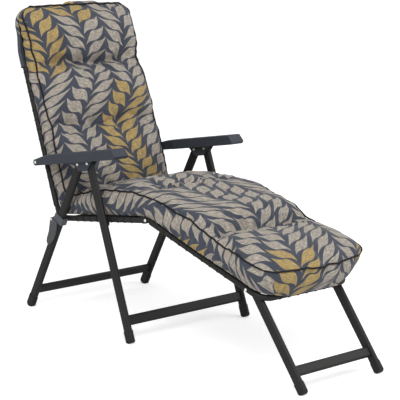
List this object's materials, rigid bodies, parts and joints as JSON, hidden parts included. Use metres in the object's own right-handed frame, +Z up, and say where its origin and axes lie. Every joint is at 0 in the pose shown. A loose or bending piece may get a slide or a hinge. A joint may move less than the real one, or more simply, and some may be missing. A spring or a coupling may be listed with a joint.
{
  "type": "reclining sun lounger",
  "caption": "Folding padded garden recliner with flat-oval steel legs, moulded arms, laced slings, a tufted leaf-print pad, sliding recline collars and a hinged footrest.",
  "frame": {"origin": "middle of the outline's footprint, at floor level", "axes": "+Z up, +Y towards the back of the lounger, +X towards the sitter's left"},
  "size_m": [0.649, 1.5762, 1.1541],
  "materials": {
    "frame_paint": "satin dark grey powder coat",
    "arm_plastic": "fine-grained dark slate moulding",
    "black_plastic": "plain black moulding",
    "collar_plastic": "slate moulding",
    "lever_plastic": "grey ribbed moulding",
    "rivet_paint": "bright rivet heads",
    "mesh": "coated dark mesh",
    "elastic": "black elastic cord",
    "pad_print": "woven cloth, slate ground with cream and ochre leaves, black piping"
  },
  "bodies": {
    "rear_legs": {"rear_leg_right": "frame_paint", "rear_leg_left": "frame_paint", "rear_crossbar": "frame_paint", "rear_foot_cap_right": "black_plastic", "rear_foot_cap_left": "black_plastic", "rear_leg_plugs": "black_plastic"},
    "arms": {"arm_right": "arm_plastic", "arm_left": "arm_plastic", "rear_leg_rivets": "rivet_paint", "front_leg_rivets": "rivet_paint", "back_rivets": "rivet_paint"},
    "back": {"back_tube": "frame_paint", "back_rail": "frame_paint", "back_eye_right": "black_plastic", "back_eye_left": "black_plastic", "back_sling": "mesh", "back_loops": "elastic", "back_cushion": "pad_print", "head_hood": "pad_print"},
    "seat": {"seat_tube_right": "frame_paint", "seat_tube_left": "frame_paint", "seat_rear_rail": "frame_paint", "seat_front_rail": "frame_paint", "seat_eye_right": "black_plastic", "seat_eye_left": "black_plastic", "seat_lug_right": "frame_paint", "seat_lug_left": "frame_paint", "knee_fork_right": "black_plastic", "knee_fork_left": "black_plastic", "knee_rivets": "rivet_paint", "seat_sling": "mesh", "seat_loops": "elastic", "seat_cushion": "pad_print"},
    "front_legs": {"front_leg_right": "frame_paint", "front_leg_left": "frame_paint", "front_crossbar": "frame_paint", "front_foot_cap_right": "black_plastic", "front_foot_cap_left": "black_plastic", "front_leg_plugs": "black_plastic"},
    "collars": {"collar_right": "collar_plastic", "collar_left": "collar_plastic", "collar_pins": "rivet_paint"},
    "right_lever": {"lever_right": "lever_plastic"},
    "left_lever": {"lever_left": "lever_plastic"},
    "footrest": {"footrest_tube": "frame_paint", "footrest_rail": "frame_paint", "knee_eye_right": "black_plastic", "knee_eye_left": "black_plastic", "footrest_sling": "mesh", "footrest_loops": "elastic", "footrest_cushion": "pad_print", "footrest_rivets": "rivet_paint"},
    "footrest_legs": {"footrest_leg_right": "frame_paint", "footrest_leg_left": "frame_paint", "footrest_crossbar": "frame_paint", "footrest_foot_cap_right": "black_plastic", "footrest_foot_cap_left": "black_plastic", "footrest_leg_eye_right": "black_plastic", "footrest_leg_eye_left": "black_plastic"}
  },
  "joints": [
    {"name": "frame_fold", "type": "hinge", "parent": "rear_legs", "child": "arms", "pos_m": [0, 0.30556, 0.6095], "axis": [-1, 0, 0], "range_deg": [-9.27, 25.75], "deforming": ["back_cushion", "seat_cushion"]},
    {"name": "back_swing", "type": "hinge", "parent": "arms", "child": "back", "pos_m": [0, 0.53873, 0.57892], "axis": [-1, 0, 0], "range_deg": [-50, 18]},
    {"name": "seat_tilt", "type": "hinge", "parent": "back", "child": "seat", "pos_m": [0, 0.45229, 0.374], "axis": [-1, 0, 0], "range_deg": [-18, 50]},
    {"name": "front_leg_swing", "type": "hinge", "parent": "seat", "child": "front_legs", "pos_m": [0, 0.16318, 0.417], "axis": [-1, 0, 0], "range_deg": [-50, 18]},
    {"name": "collar_travel", "type": "hinge", "parent": "seat", "child": "collars", "pos_m": [0, 0.45229, 0.374], "axis": [-1, 0, 0], "range_deg": [-25.75, 9.27]},
    {"name": "right_lever_squeeze", "type": "hinge", "parent": "collars", "child": "right_lever", "pos_m": [0, 0.45229, 0.374], "axis": [-1, 0, 0], "range_deg": [-25, 0], "stiffness_Nm_per_rad": 0.4},
    {"name": "left_lever_squeeze", "type": "hinge", "parent": "collars", "child": "left_lever", "pos_m": [0, 0.45229, 0.374], "axis": [-1, 0, 0], "range_deg": [-25, 0], "stiffness_Nm_per_rad": 0.4},
    {"name": "footrest_lift", "type": "hinge", "parent": "seat", "child": "footrest", "pos_m": [0, -0.04969, 0.46351], "axis": [-1, 0, 0], "range_deg": [-35, 28], "deforming": ["footrest_cushion", "seat_cushion"]},
    {"name": "footrest_leg_fold", "type": "hinge", "parent": "footrest", "child": "footrest_legs", "pos_m": [0, -0.52103, 0.31036], "axis": [-1, 0, 0], "range_deg": [-125, 0]}
  ],
  "couplings": [
    {"joint": "back_swing", "follows": "frame_fold", "ratio": -1.9417},
    {"joint": "seat_tilt", "follows": "frame_fold", "ratio": 1.9417},
    {"joint": "front_leg_swing", "follows": "frame_fold", "ratio": -1.9417},
    {"joint": "collar_travel", "follows": "frame_fold", "ratio": -1}
  ]
}
